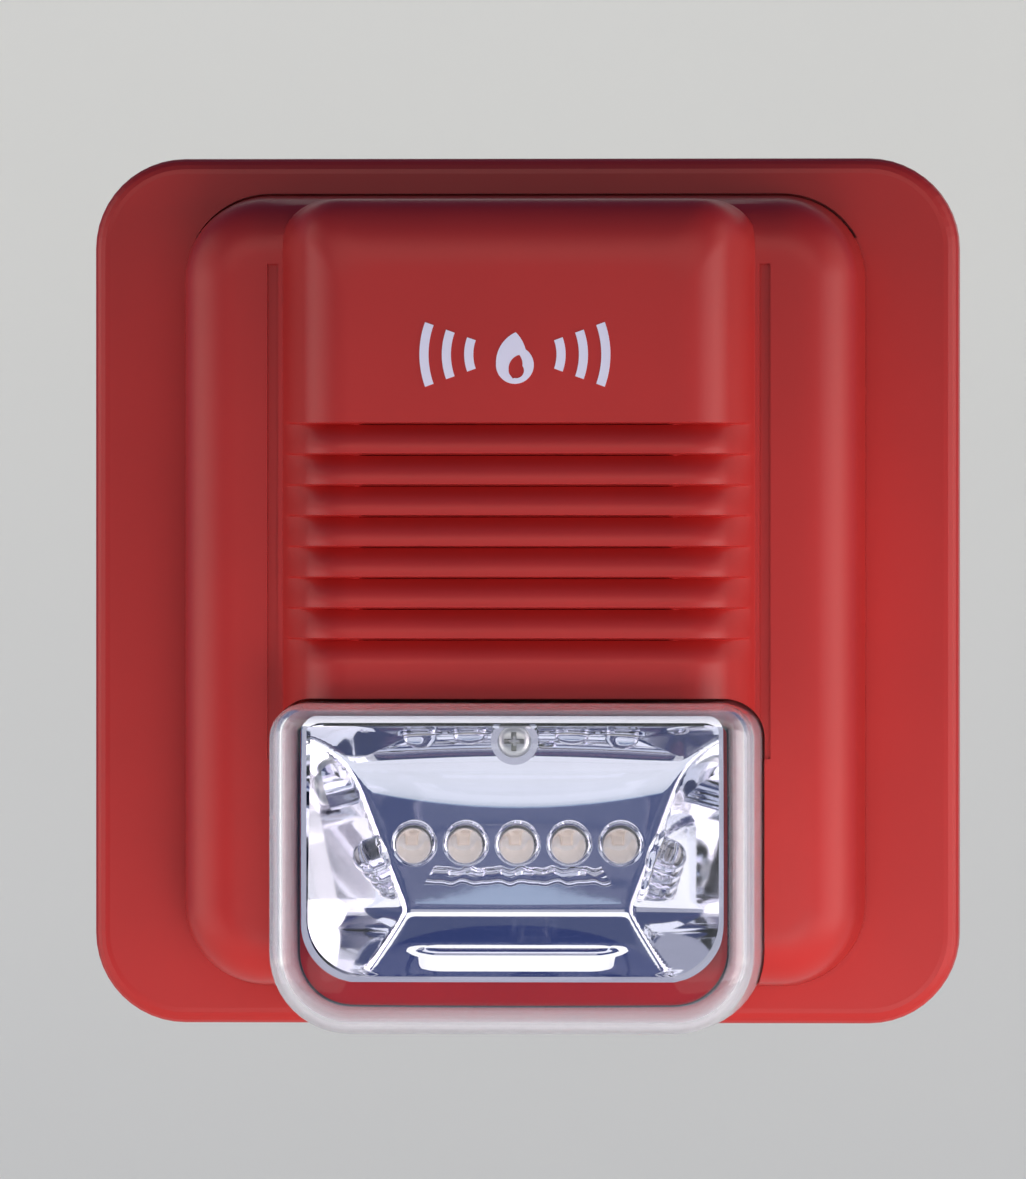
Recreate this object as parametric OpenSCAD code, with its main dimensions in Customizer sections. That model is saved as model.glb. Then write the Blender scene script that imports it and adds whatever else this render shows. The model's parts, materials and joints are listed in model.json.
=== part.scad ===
// Wall-mounted fire alarm horn strobe.
// A square back plate carries the field wiring. The front unit hangs on it from two hooks, swings
// down on them for wiring, and is held shut by one clamp screw under its chin.
//
// Every part is drawn lying down, with X to the right, Y up the wall and Z out of the wall, and
// stand_up() then sets it upright: +Z up, the wall at y = 0 and the front facing -Y.

/* [Back plate] */
// Width and height of the square back plate
plate_w = 125; // [123:1:128]
// Depth of the back plate, from the wall to its front face
plate_d = 7; // [6.8:0.1:7.2]
// Corner radius of the back plate
plate_r = 13; // [10:1:16]
// Radius of the back plate's front edge
plate_edge = 2.2; // [1:0.2:2.6]
// Hole to hole distance of the wall box screws
box_pitch = 60.3; // [60:0.1:61]
// Hole to hole distance of the surface screws, across
wall_pitch_x = 76; // [74:1:78]
// Hole to hole distance of the surface screws, upwards
wall_pitch_z = 84; // [82:1:86]

/* [Front housing] */
// Width of the front housing at its rim
housing_w = 98; // [96:1:100]
// Height of the front housing at its rim
housing_h = 114; // [113:1:114]
// Corner radius of the front housing
housing_r = 12; // [11:0.5:13]
// Height of the shoulder face above the wall
tier_d = 27; // [26.5:0.5:27.5]
// Radius of the shoulder's rounded edge
shoulder_r = 8; // [7:0.5:8.5]
// Height of the raised centre block above the wall
block_d = 37; // [36.5:0.5:38]
// Wall thickness of the moulding
wall = 2.4; // [2:0.1:2.6]

/* [Louvres] */
// Number of louvre slots
louvres = 8; // [6:1:8]
// Distance from one louvre to the next
louvre_pitch = 4.4; // [4.2:0.1:4.5]
// Height of the first louvre's upper edge
louvre_top = 24.2; // [23.5:0.1:24.5]

/* [Lens] */
// Width of the clear lens
lens_w = 70; // [69:0.5:70]
// Height of the lens's upper edge
lens_top = -15.5; // [-16:0.1:-15.3]
// Height of the lens's lower edge
lens_bottom = -63.3; // [-63.5:0.1:-63]
// Distance of the lens's front face from the wall
lens_d = 50; // [49:0.5:52]
// Wall thickness of the lens
lens_wall = 1.5; // [1.3:0.1:1.6]

/* [Strobe] */
// Distance between neighbouring lamps
led_pitch = 7.4; // [7.2:0.1:7.6]
// Height of the lamp row
led_z = -36; // [-37:0.5:-35]

/* [Hidden] */
$fn = 48;
slab = 0.01;           // thickness of the slices that a hull joins
eps = 0.2;             // overlap of joined shapes and overshoot of cuts
pilot_r = 1.1;         // holes for the self-tapping screws
tap_r = 1.05;          // shank radius of those screws

// Back plate
plate_skin = 3;        // front skin of the back plate
plate_rim = 2.6;       // rim around its hollow back
rib_t = 1.6;           // stiffening ribs on its back
cable_w = 40;          // wiring opening, across
cable_h = 28;          // wiring opening, upwards
cable_wall = 2;        // wall round that opening
rib_foot = 0.4;        // the ribs stop this far short of the wall
rib_x = [12, 46];      // upright ribs
rib_z = 20;            // cross ribs
seat_r = 5;            // bosses round the surface screws
counterbore_r = 4;
slot_len = 8;          // wall box slots, end to end
slot_r = 2.1;          // half their width
wall_hole_r = 2.25;    // surface screw holes
groove_floor = 5;      // the rim of the open housing dips into a groove this far from the wall
groove_z = 51;         // lower edge of that groove

// Hinge hooks
hinge_z = 52;
hinge_d = 10.5;
bar_r = 1.5;
bar_fit = 0.1;         // radial clearance between bar and hook
hook_x = 25;           // middle of each hook
hook_w = 8.8;
hook_h = 5.8;          // height of a hook, and its reach out of the plate
hook_reach = 7.5;
bar_x0 = 20;           // each bar runs from bar_x0 to bar_x1
bar_x1 = 30;
gusset_t = 1.5;

// Clamp screw and its keeper
lock_d = 11.2;
lock_r = 1.5;
lock_fit = 0.06;       // radial clearance of the shank in its thread
keeper_z0 = -52.5;
keeper_z1 = -50.5;
keeper_hw = 5;
keeper_top = 2.4;      // how far the keeper reaches past the screw's axis
keeper_slot_r = 1.8;
keeper_gap = 0.6;
boss_top = -44;
head_z = -60;          // underside of the clamp screw's head and washer stack
washer_t = 0.5;

// Front housing
rim_d = plate_d + 0.3; // the housing's rim stands just clear of the back plate
draft = 0.6;
block_front_hw = 23.5; // half width of the block's flat face
block_fillet = 8;
block_slope = 60;      // slope of the block's sides
block_base_hw = 34.5;
block_top = 56.2;      // upper end of the block
block_face_top = 46.5; // where its flat face ends
block_bottom = -24;
crest_d = 29.5;        // where the block's top starts to round over
floor_d = 16.4;        // front of the floor that lens and reflector stand on
floor_t = 2;
pocket_gap = 0.25;     // clearance round the lens
well_wall = 1.8;
lens_r_top = 5.5;
lens_r_bottom = 12;
lens_edge = 4;         // radius of the lens's front edge
gasket_t = 0.8;
gasket_w = 2.4;
clip_x = 34;            // lens clips
clip_z = [-26, -44];

// Louvres
ramp_hw = 29;
ramp_h = 3.6;
ramp_depth = 2;
slot_hw = 22.5;
slot_h = 1.1;

// Main board
board_d = 17;          // rear face
board_t = 1.6;
board_hw = 43;
board_z0 = -9.5;
board_z1 = 46.5;
board_hole_x = 38.5;
board_hole_z = [-5, 41];
board_front = board_d + board_t;

// Sounder
sounder_z = 9;
sounder_r = 20;
sounder_d0 = 20.2;
sounder_d1 = 32.6;
ear_x = 25.6;
ear_r = 2.6;
ear_d0 = 28;
ear_d1 = 30;
piezo_d = 26;
piezo_t = 0.3;

// Mesh behind the louvres
backing_hw = 27.5;     // half width of the thicker wall it lies against
screen_hw = 22.8;
screen_z0 = -11;
screen_z1 = 26.5;
screen_d1 = 33.2;

// Reflector and lamps
refl_hw = 30.2;
refl_top = -17.8;
refl_bottom = -55.6;
refl_t = 1.3;
refl_d0 = floor_d + gasket_t;
refl_lip_d = 43;
bowl_top = -18.6;
bowl_back_z = -31;     // where the curved roof meets the lamp wall
bowl_back_d = 30;
bowl_deep_z = -46;     // where the lamp wall meets the sloping floor
bowl_deep_d = 27.9;
bowl_low_z = -54.6;
bowl_low_d = 32;
bowl_deep_hw = 16;     // half width of the bowl at its deepest
led_tilt = atan((bowl_back_d - bowl_deep_d) / (bowl_back_z - bowl_deep_z));
led_d = bowl_back_d - (bowl_back_z - led_z) * tan(led_tilt);
led_r = 2.5;
led_count = 5;
led_pin = 1.27;        // half the distance between a lamp's leads
led_foot = -2.6;       // foot of its body
flange_r = 2.9;
led_board_w0 = -7.6;   // rear of the lamp board, behind the lamp wall
led_board_w1 = -6;
led_screw_x = 19.5;
tongue_x = 15;         // reflector tongues
pillar_z = -21.3;      // reflector screw
pillar_d = 22;          // where the housing's pillar meets the reflector's post
pillar_top = 37.6;
post_r = 3.4;          // the reflector's post
collar_r = 3.3;        // collars round the lamps

// Terminals
way_pitch = 8.5;
ways = [-1.5, -0.5, 0.5, 1.5] * way_pitch;
term_z0 = 21;
term_z1 = 31;
term_d1 = 15;
term_hw = 18;
term_ear = 23.5;       // ears for the block's screws
term_ear_r = 3;
term_ear_t = 2.4;
term_mid = (term_z0 + term_z1) / 2;
pad_z = 38;            // pads on the main board that the springs press on

// Small parts on the main board
core_at = [-14, 38, board_front];
core_r = 6;
core_h = 10;
core_flange = 1.6;
pin_r = 0.25;          // half the thickness of a lead
dip_x = -27;
dip_z = 4;
dip_pitch = 3;
wire_r = 0.5;
led_header_x = 27;
led_header_z = -4.5;
sounder_header_x = -30;
sounder_header_z = 26;

// ---------- shared shapes ----------

module stand_up() rotate([90, 0, 0]) children();

module rounded_rect(w, h, r) {
    square([w - 2 * r, h], center = true);
    square([w, h - 2 * r], center = true);
    for (x = [-1, 1], y = [-1, 1]) translate([x * (w / 2 - r), y * (h / 2 - r)]) circle(r = r);
}

// A rounded rectangle from y0 to y1 with one radius for its upper corners and one for its lower
module two_radius_rect(hw, y0, y1, r0, r1) {
    translate([-hw, y0 + r0]) square([2 * hw, y1 - y0 - r0 - r1]);
    translate([-hw + r0, y0]) square([2 * (hw - r0), r0 + eps]);
    translate([-hw + r1, y1 - r1 - eps]) square([2 * (hw - r1), r1 + eps]);
    for (x = [-1, 1]) {
        translate([x * (hw - r0), y0 + r0]) circle(r = r0);
        translate([x * (hw - r1), y1 - r1]) circle(r = r1);
    }
}

module lens_outline(grow = 0)
    two_radius_rect(lens_w / 2 + grow, lens_bottom - grow, lens_top + grow,
                    lens_r_bottom + grow, lens_r_top + grow);

// A box given by its low and high corners
module span(low, high) translate(low) cube(high - low);

module ring(r_out, r_in, h) difference() {
    cylinder(r = r_out, h = h);
    translate([0, 0, -eps]) cylinder(r = r_in, h = h + 2 * eps);
}

// A pan head screw along +Z: the head's underside is at 0 and the shank points down
module screw(shank_r, shank_l, head_r, head_h) difference() {
    union() {
        translate([0, 0, -shank_l]) cylinder(r = shank_r, h = shank_l + eps);
        cylinder(r = head_r, h = head_h * 0.6);
        translate([0, 0, head_h * 0.6]) cylinder(r1 = head_r, r2 = head_r * 0.72, h = head_h * 0.4);
    }
    for (a = [0, 90]) rotate([0, 0, a])
        span([-head_r * 0.62, -head_r * 0.13, head_h * 0.4], [head_r * 0.62, head_r * 0.13, head_h + 1]);
}

// Points of an 8-sided tube of radius r along a path, ring by ring
tube_sides = 8;
function unit(v) = v / norm(v);
function tangent(p, i) = unit(p[min(i + 1, len(p) - 1)] - p[max(i - 1, 0)]);
function side_of(t) = unit(cross(t, abs(t[2]) < 0.9 ? [0, 0, 1] : [1, 0, 0]));
function tube_points(p, r) = [
    for (i = [0:len(p) - 1]) let (t = tangent(p, i), a = side_of(t), b = cross(t, a))
        for (k = [0:tube_sides - 1])
            p[i] + r * (cos(360 * k / tube_sides) * a + sin(360 * k / tube_sides) * b)
];
function tube_faces(n) = concat(
    [[for (k = [0:tube_sides - 1]) k]],
    [[for (k = [tube_sides - 1:-1:0]) (n - 1) * tube_sides + k]],
    [for (i = [0:n - 2], k = [0:tube_sides - 1]) let (m = (k + 1) % tube_sides)
        [i * tube_sides + k, (i + 1) * tube_sides + k, (i + 1) * tube_sides + m, i * tube_sides + m]]
);
module wire(path, r) polyhedron(tube_points(path, r), tube_faces(len(path)));

// Frame of the lamps: origin on the lamp wall at the middle of the row, +Z along the lamps
module lamp_frame() translate([0, led_z, led_d]) rotate([led_tilt, 0, 0]) children();
function lamp_x(i) = (i - (led_count - 1) / 2) * led_pitch;

// ---------- back plate and terminals ----------

module plate_outer() hull() {
    linear_extrude(slab) rounded_rect(plate_w, plate_w, plate_r);
    for (a = [0:18:90]) translate([0, 0, plate_d - plate_edge * (1 - sin(a)) - slab])
        linear_extrude(slab)
            rounded_rect(plate_w - 2 * plate_edge * (1 - cos(a)), plate_w - 2 * plate_edge * (1 - cos(a)),
                         plate_r - plate_edge * (1 - cos(a)));
}

// An open hook, seen from its side: the bar hangs in its mouth
module hook() translate([-hook_w / 2, 0, 0]) rotate([90, 0, 90]) linear_extrude(hook_w) difference() {
    translate([hinge_z + 0.3 - hook_h, plate_d - eps]) square([hook_h, hook_reach + eps]);
    translate([hinge_z, hinge_d]) circle(r = bar_r + bar_fit);
    translate([hinge_z, hinge_d - bar_r - bar_fit]) square([hook_h, 2 * (bar_r + bar_fit)]);
    translate([hinge_z, plate_d - 1]) square([hook_h, hinge_d - plate_d + 1]);
}

// A tab with an open slot that the clamp screw's shank drops into as the front unit closes
module keeper() difference() {
    span([-keeper_hw, keeper_z0, plate_d - eps], [keeper_hw, keeper_z1, lock_d + keeper_top]);
    translate([0, keeper_z0 - 1, lock_d]) rotate([-90, 0, 0]) cylinder(r = keeper_slot_r, h = 4);
    span([-keeper_slot_r, keeper_z0 - 1, lock_d], [keeper_slot_r, keeper_z1 + 1, lock_d + keeper_top + 1]);
}

// A stiffening rib on the plate's back, upright at x from z0 to z1
module rib(x, z0, z1) span([x - rib_t / 2, z0, rib_foot], [x + rib_t / 2, z1, plate_d - 1]);

module base_plate() color("firebrick") stand_up() difference() {
    union() {
        difference() {
            plate_outer();
            translate([0, 0, -1]) linear_extrude(plate_d - plate_skin + 1)
                rounded_rect(plate_w - 2 * plate_rim, plate_w - 2 * plate_rim, plate_r - plate_rim);
        }
        // wall around the wiring opening, screw seats and stiffening ribs
        linear_extrude(plate_d - plate_skin + eps)
            rounded_rect(cable_w + 2 * cable_wall, cable_h + 2 * cable_wall, 5);
        for (x = [-1, 1]) {
            translate([x * box_pitch / 2, 0, 0]) linear_extrude(plate_d - plate_skin + eps)
                rounded_rect(slot_len + 6, 10, 4.9);
            rib(x * rib_x[1], -plate_w / 2 + 1, plate_w / 2 - 1);
            rib(x * rib_x[0], cable_h / 2 + 1, plate_w / 2 - 1);
            rib(x * rib_x[0], -plate_w / 2 + 1, -cable_h / 2 - 1);
            for (z = [-rib_z, rib_z]) rotate([0, 0, -90])
                rib(-z, x > 0 ? cable_w / 2 : -plate_w / 2 + 1, x > 0 ? plate_w / 2 - 1 : -cable_w / 2);
            for (y = [-1, 1]) translate([x * wall_pitch_x / 2, y * wall_pitch_z / 2, 0])
                cylinder(r = seat_r, h = plate_d - 1);
            translate([x * term_ear, term_mid, 1]) cylinder(r = term_ear_r, h = plate_d - 2);
        }
        span([-housing_w / 2 - 1, groove_z - 1.5, 1.4],
             [housing_w / 2 + 1, housing_h / 2 + 1.6, groove_floor]);
        for (x = [-1, 1]) translate([x * hook_x, 0, 0]) hook();
        keeper();
    }
    translate([0, 0, -1]) linear_extrude(plate_d + 2) rounded_rect(cable_w, cable_h, 3);
    for (x = [-1, 1]) {
        translate([x * box_pitch / 2, 0, -1]) linear_extrude(plate_d + 2) {
            square([slot_len - 2 * slot_r, 2 * slot_r], center = true);
            for (s = [-1, 1]) translate([s * (slot_len / 2 - slot_r), 0]) circle(r = slot_r);
        }
        for (y = [-1, 1]) translate([x * wall_pitch_x / 2, y * wall_pitch_z / 2, 0]) {
            translate([0, 0, -1]) cylinder(r = wall_hole_r, h = plate_d + 2);
            translate([0, 0, plate_d - 1.5]) cylinder(r = counterbore_r, h = 2);
        }
        translate([x * term_ear, term_mid, 2]) cylinder(r = pilot_r, h = plate_d);
    }
    // groove that takes the housing's upper rim as it swings open
    translate([0, 0, groove_floor]) linear_extrude(plate_d - groove_floor + 0.05) intersection() {
        rounded_rect(housing_w + 0.8, housing_h + 0.8, housing_r + 0.4);
        translate([-housing_w, groove_z]) square([2 * housing_w, 20]);
    }
}

module terminal_block() color("darkgreen") stand_up() difference() {
    union() {
        span([-term_hw, term_z0, plate_d], [term_hw, term_z1, term_d1]);
        for (x = [-1, 1]) translate([x * term_ear, term_mid, plate_d])
            cylinder(r = term_ear_r, h = term_ear_t);
        span([-term_ear, term_mid - 2, plate_d], [term_ear, term_mid + 2, plate_d + term_ear_t]);
    }
    // in each way a screw well, a wire entry from below and a slit for the spring
    for (x = ways) {
        translate([x, term_mid, 8.2]) cylinder(r = 2.4, h = 10);
        span([x - 2.1, term_z0 - 1, 8.6], [x + 2.1, term_mid + 1.5, 11.6]);
        span([x - 1.6, term_mid + 2.5, 9], [x + 1.6, term_z1 + 1, 9.5]);
    }
    for (x = [-1, 1]) translate([x * term_ear, term_mid, plate_d - 1]) cylinder(r = 1.5, h = 5);
}

module terminal_block_screws() color("silver") stand_up()
    for (x = [-1, 1]) translate([x * term_ear, term_mid, plate_d + term_ear_t]) screw(tap_r, 6, 2.3, 1.5);

module terminal_screws() color("silver") stand_up()
    for (x = ways) translate([x, term_mid, 12.2]) screw(1.2, 2.2, 2.1, 1.6);

module wire_clamps() color("goldenrod") stand_up()
    for (x = ways) span([x - 1.5, term_mid - 1.2, 8.8], [x + 1.5, term_mid + 1.2, 9.8]);

// A bent strip in each way that reaches out to the pad on the main board
module contact_springs() color("goldenrod") stand_up()
    for (x = ways) translate([x - 1.4, 0, 0]) rotate([90, 0, 90]) linear_extrude(2.8)
        polygon([
            [28.8, 9.1], [33, 9.1], [pad_z - 0.6, 16.1], [pad_z + 0.8, 16.1], [40.6, 12.4],
            [40.9, 12.6], [pad_z + 0.95, 16.6], [pad_z - 0.8, 16.6], [32.8, 9.4], [28.8, 9.4]
        ]);

// ---------- front housing ----------

module tier_solid(g) hull() {
    translate([0, 0, g > 0 ? -1 : rim_d]) linear_extrude(slab)
        rounded_rect(housing_w - 2 * g, housing_h - 2 * g, housing_r - g);
    for (a = [0:15:90]) let (e = shoulder_r - g, inset = draft + g + e * (1 - cos(a)))
        translate([0, 0, tier_d - shoulder_r + e * sin(a) - slab]) linear_extrude(slab)
            rounded_rect(housing_w - 2 * inset, housing_h - 2 * inset, housing_r - inset, $fn = 32);
}

function block_hw(d) = let (c = block_d - block_fillet, f = d - c)
    f > block_fillet * cos(block_slope) ? block_front_hw + sqrt(pow(block_fillet, 2) - f * f)
    : min(block_base_hw, block_front_hw + block_fillet * sin(block_slope)
                         + (c + block_fillet * cos(block_slope) - d) / tan(block_slope));
function block_crest(d) = let (c = crest_d, f = (d - c) / (block_d - c))
    f < 0 ? block_top : block_face_top + (block_top - block_face_top) * sqrt(1 - f * f);

module block_solid(g) hull()
    for (d = [14, 26, 28, crest_d, 31, 33, 34.2, 35.2, 36, 36.6, block_d])
        translate([0, 0, d - g - slab]) linear_extrude(slab)
            two_radius_rect(block_hw(d) - g, block_bottom + g, block_crest(d) - g, 1,
                            7.5 - 3.5 * max(0, d - tier_d) / (block_d - tier_d), $fn = 32);

// The wall round the lens, above height z0
module well_ring(z0) difference() {
    lens_outline(pocket_gap + well_wall);
    lens_outline(pocket_gap);
    translate([-housing_w, z0 - housing_h]) square([2 * housing_w, housing_h]);
}

module lens_well() {
    // floor, chin and the walls round the lens
    translate([0, 0, floor_d - floor_t]) linear_extrude(floor_t) intersection() {
        lens_outline(pocket_gap + well_wall);
        union() {
            lens_outline(-0.5);
            translate([-50, -54]) square([100, 60]);
        }
    }
    translate([0, 0, rim_d + eps]) linear_extrude(floor_d - rim_d - eps) difference() {
        intersection() {
            lens_outline(-0.5);
            translate([-50, -70]) square([100, 14]);
        }
        for (x = [-1, 1]) translate([x * 14.5, -59.4]) square([17, 4], center = true);
    }
    // the wall steps down towards the chin, and rises to the block's face at the top
    for (step = [[24.8, -51.5], [21.8, -55]])
        translate([0, 0, floor_d - floor_t]) linear_extrude(step[0] - floor_d + floor_t) well_ring(step[1]);
    intersection() {
        translate([0, 0, 20]) linear_extrude(20) well_ring(-22);
        block_solid(0.5);
    }
    // pillar for the reflector screw
    translate([0, pillar_z, floor_d - eps]) cylinder(r = 2.1, h = pillar_d - floor_d + eps);
}

// Round bars that hang in the hooks, each between two gussets
module hinge_bars() for (x = [-1, 1]) {
    translate([x > 0 ? bar_x0 - 1 : -bar_x1 - 1, hinge_z, hinge_d]) rotate([0, 90, 0])
        cylinder(r = bar_r, h = bar_x1 - bar_x0 + 2);
    for (u = [bar_x0 - gusset_t, bar_x1]) translate([x > 0 ? u : -u - gusset_t, 0, 0])
        rotate([90, 0, 90]) linear_extrude(gusset_t)
            polygon([[hinge_z - 1.5, 9], [55, 9], [55, 17], [hinge_z - 1.5, 12.2]]);
}

module lock_boss() difference() {
    span([-5.5, lens_bottom + 1, rim_d + 0.2], [5.5, boss_top, floor_d - eps]);
    span([-7, keeper_z0 - keeper_gap, 0], [7, keeper_z1 + keeper_gap, lock_d + 3.2]);
}

// Each louvre is a ramp that sinks upwards to a step, with a sound slot under the step
module louvre_cut() for (k = [0:louvres - 1]) rotate([90, 0, 90]) {
    z = louvre_top - k * louvre_pitch;
    translate([0, 0, -ramp_hw]) linear_extrude(2 * ramp_hw) polygon([
        [z, block_d + 1], [z, block_d - ramp_depth], [z - ramp_h, block_d], [z - ramp_h, block_d + 1]
    ]);
    translate([0, 0, -slot_hw]) linear_extrude(2 * slot_hw) polygon([
        [z, block_d], [z, 30], [z - slot_h, 30], [z - slot_h, block_d]
    ]);
}

module front_housing() color("red") stand_up() difference() {
    union() {
        difference() {
            union() {
                tier_solid(0);
                block_solid(0);
            }
            tier_solid(wall);
            block_solid(wall);
            translate([0, 0, floor_d]) linear_extrude(60) lens_outline(pocket_gap);
        }
        lens_well();
        lock_boss();
        hinge_bars();
        // thicker wall behind the louvres
        span([-backing_hw, screen_z0 - 1, screen_d1], [backing_hw, screen_z1 + 1, block_d - wall + eps]);
        for (x = [-1, 1]) {
            for (z = board_hole_z) translate([x * board_hole_x, z, board_front])
                cylinder(r = 3.2, h = tier_d - wall - board_front + eps);
            translate([x * ear_x, sounder_z, ear_d1]) cylinder(r = ear_r, h = block_d - wall - ear_d1 + eps);
        }
    }
    louvre_cut();
    // opening behind the reflector, and slots for the tongues and clips that hook into the floor
    translate([0, 0, floor_d - floor_t - eps]) linear_extrude(floor_t + 2 * eps) {
        translate([-26, boss_top + 0.8]) square([52, 16]);
        for (x = [-1, 1], z = clip_z) translate([x * clip_x, z]) square([2.4, 6.6], center = true);
    }
    translate([0, pillar_z, floor_d - floor_t - 1]) cylinder(r = 1.3, h = 20);
    for (x = [-1, 1]) {
        span([x * tongue_x - 2.8, -55.9, floor_d - floor_t - 1.4],
             [x * tongue_x + 2.8, -53.9, floor_d + eps]);
        for (z = board_hole_z) translate([x * board_hole_x, z, board_front - 1])
            cylinder(r = pilot_r, h = 5.6);
        translate([x * ear_x, sounder_z, ear_d1 - 1]) cylinder(r = pilot_r, h = 5.6);
        // thin shadow groove between shoulder and block
        span([x * 35.5 - 0.6, block_bottom, tier_d - 0.8], [x * 35.5 + 0.6, 46, tier_d + 1]);
    }
    // the clamp screw's stepped hole, from the chin upwards: head, clearance, thread
    for (step = [[3.1, head_z], [1.7, keeper_z0], [lock_r + lock_fit, boss_top - 0.8]])
        translate([0, -70, lock_d]) rotate([-90, 0, 0]) cylinder(r = step[0], h = 70 + step[1]);
}

// A flame between sound arcs
module alarm_symbol() color("white") stand_up() translate([0, 33.9, block_d]) linear_extrude(0.2) {
    difference() {
        union() {
            translate([0, -1.5]) circle(r = 2.7);
            intersection() {
                translate([2.1, -1.2]) circle(r = 4.8);
                translate([-3.6, -0.6]) circle(r = 5.3);
                translate([-5, -2.4]) square([10, 7]);
            }
        }
        translate([0.2, -2.3]) circle(r = 1.1);
        intersection() {
            translate([1.1, -2]) circle(r = 2);
            translate([-1.1, -1.4]) circle(r = 2.2);
        }
    }
    for (side = [0, 180], r = [6.6, 9.8, 13]) rotate([0, 0, side]) intersection() {
        difference() {
            circle(r = r + 0.65);
            circle(r = r - 0.65);
        }
        polygon([[0, 0], [20, -7.2], [20, 7.2]]);
    }
}

module sound_screen() color("black") stand_up()
    span([-screen_hw, screen_z0, screen_d1 - 0.4], [screen_hw, screen_z1, screen_d1]);

// ---------- sounder ----------

module sounder_cup() color("dimgray") stand_up() translate([0, sounder_z, 0]) difference() {
    union() {
        translate([0, 0, sounder_d0]) cylinder(r = sounder_r, h = sounder_d1 - sounder_d0);
        for (x = [-1, 1]) {
            translate([x * ear_x, 0, ear_d0]) cylinder(r = ear_r, h = ear_d1 - ear_d0);
            span([x > 0 ? 15 : -ear_x, -ear_r, ear_d0], [x > 0 ? ear_x : -15, ear_r, ear_d1]);
        }
    }
    translate([0, 0, piezo_d]) cylinder(r = 16.4, h = sounder_d1 - piezo_d - 1.4);
    translate([0, 0, sounder_d0 - 1]) cylinder(r = 18.2, h = piezo_d - sounder_d0 + 1);
    cylinder(r = 5, h = 50);
    for (x = [-1, 1]) translate([x * ear_x, 0, ear_d0 - 1]) cylinder(r = 1.4, h = 4);
    span([-2, -19.4, sounder_d0 - 1], [2, -17, sounder_d0 + 2.5]);
}

module piezo_disc() color("gold") stand_up()
    translate([0, sounder_z, piezo_d - piezo_t]) cylinder(r = 17.5, h = piezo_t);

module piezo_ceramic() color("white") stand_up()
    translate([0, sounder_z, piezo_d - 2 * piezo_t]) cylinder(r = 12.5, h = piezo_t);

module sounder_retainer() color("dimgray") stand_up()
    translate([0, sounder_z, piezo_d - 2.4]) ring(18.1, 15.2, 2.1);

module sounder_screws() color("silver") stand_up()
    for (x = [-1, 1]) translate([x * ear_x, sounder_z, ear_d0]) rotate([0, 180, 0])
        screw(tap_r, 6.2, 2.2, 1.5);

module plug_shell(x, z, w, d0, d1) difference() {
    span([x - w / 2 - 0.9, z - 2.9, d0], [x + w / 2 + 0.9, z + 2.9, d1]);
    span([x - w / 2 - 0.1, z - 2.1, min(d0, d1) + 1], [x + w / 2 + 0.1, z + 2.1, max(d0, d1) + 1]);
}

module sounder_header() color("ivory") stand_up()
    plug_shell(sounder_header_x, sounder_header_z, 5, board_front, board_front + 4.4);

module sounder_plug() color("white") stand_up() span(
    [sounder_header_x - 2.5, sounder_header_z - 2, board_front + 1],
    [sounder_header_x + 2.5, sounder_header_z + 2, board_front + 5.6]);

// From the plug down behind the cup's rim, one wire to the disc and one to its ceramic
disc_wire = [
    [-30, 27, 24.2], [-30, 27, 26], [-29, 26.5, 27.2], [-27, 25.4, 27.2], [-25.6, 24.6, 25.6],
    [-24.6, 24, 22.4], [-23.4, 23.3, 20.2], [-21, 22, 19.4], [-16, 19.2, 19.4], [-13, 17.3, 20.6],
    [-12, 16.6, 23], [-12, 16.6, 25.7]
];
ceramic_wire = [
    [-30, 25, 24.2], [-30, 25, 26], [-29, 24.5, 27.2], [-27, 23.4, 27.2], [-25.6, 22.6, 25.6],
    [-24.6, 22, 22.4], [-23.4, 21.3, 20.2], [-21, 20, 19.4], [-14, 16, 19.4], [-10, 13.8, 20.4],
    [-8, 12.6, 23], [-8, 12.6, 25.4]
];
module sounder_wires() color("red") stand_up() for (path = [disc_wire, ceramic_wire]) wire(path, wire_r);

// ---------- main board ----------

module main_board() color("green") stand_up() difference() {
    translate([0, (board_z0 + board_z1) / 2, board_d]) linear_extrude(board_t)
        rounded_rect(2 * board_hw, board_z1 - board_z0, 2.5);
    for (x = [-1, 1], z = board_hole_z) translate([x * board_hole_x, z, board_d - 1])
        cylinder(r = 1.6, h = 4);
}

module main_board_screws() color("silver") stand_up()
    for (x = [-1, 1], z = board_hole_z) translate([x * board_hole_x, z, board_d]) rotate([0, 180, 0])
        screw(tap_r, 6, 2.6, 1.6);

module contact_pads() color("gold") stand_up()
    for (x = ways) span([x - 2.2, pad_z - 2.6, board_d - 0.08], [x + 2.2, pad_z + 2.6, board_d]);

module transformer_core() color("dimgray") stand_up() translate(core_at) {
    cylinder(r = core_r, h = core_flange);
    cylinder(r = core_r / 2, h = core_h);
    translate([0, 0, core_h - core_flange]) cylinder(r = core_r, h = core_flange);
}

module transformer_winding() color("peru") stand_up() translate(core_at + [0, 0, core_flange])
    ring(core_r - 0.6, core_r / 2, core_h - 2 * core_flange);

module capacitors() color("midnightblue") stand_up() for (x = [3, 13]) translate([x, 38.5, board_front]) {
    cylinder(r = 3.7, h = 1);
    cylinder(r = 4, h = 11);
}

module controller_chip() color("black") stand_up() translate([31, 24, board_front]) {
    span([-2, -2.6, 0.2], [2, 2.6, 1.7]);
    for (y = [-1.9, -0.63, 0.63, 1.9]) span([-3, y - 0.2, 0], [3, y + 0.2, 0.6]);
}

module drive_transistors() color("black") stand_up() for (z = [8, 15]) translate([28, z, board_front]) {
    translate([0, 0, 2]) difference() {
        cylinder(r = 2.3, h = 4.6);
        span([-3, 1.2, -1], [3, 4, 6]);
    }
    for (x = [-1.27, 0, 1.27]) translate([x, 0, 0]) span([-pin_r, -pin_r, 0], [pin_r, pin_r, 2.4]);
}

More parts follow.
